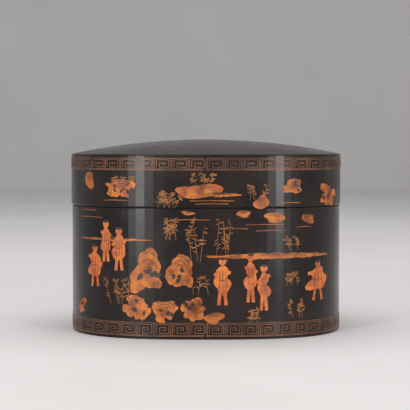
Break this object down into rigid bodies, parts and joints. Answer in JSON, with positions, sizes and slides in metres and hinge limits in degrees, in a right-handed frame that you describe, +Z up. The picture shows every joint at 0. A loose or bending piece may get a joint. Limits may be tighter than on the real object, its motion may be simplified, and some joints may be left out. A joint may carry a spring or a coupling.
{
  "type": "lacquer box",
  "caption": "Oval black lacquer box with a shallow domed lid that lifts off over an inner lip, gilt scenery and key-fret borders.",
  "frame": {"origin": "middle of the foot, on the surface that the box stands on", "axes": "+Z up, +X along the length of the oval, -Y the front seen in the picture"},
  "size_m": [0.26, 0.226, 0.1816],
  "materials": {
    "black_lacquer": "polished black lacquer over wood, with gilt painting",
    "inner_lacquer": "satin red-brown lacquer over wood",
    "foot_ground": "matt dark ground over wood"
  },
  "bodies": {
    "box": {"wall_hoop": "black_lacquer", "foot_hoop": "foot_ground", "base_board": "inner_lacquer", "lip_hoop": "inner_lacquer"},
    "lid": {"lid_hoop": "black_lacquer", "lid_lining_hoop": "inner_lacquer", "lid_top": "black_lacquer"}
  },
  "joints": [
    {"name": "lid_lift", "type": "slide", "parent": "box", "child": "lid", "axis": [0, 0, 1], "range_m": [0, 0.12]}
  ]
}
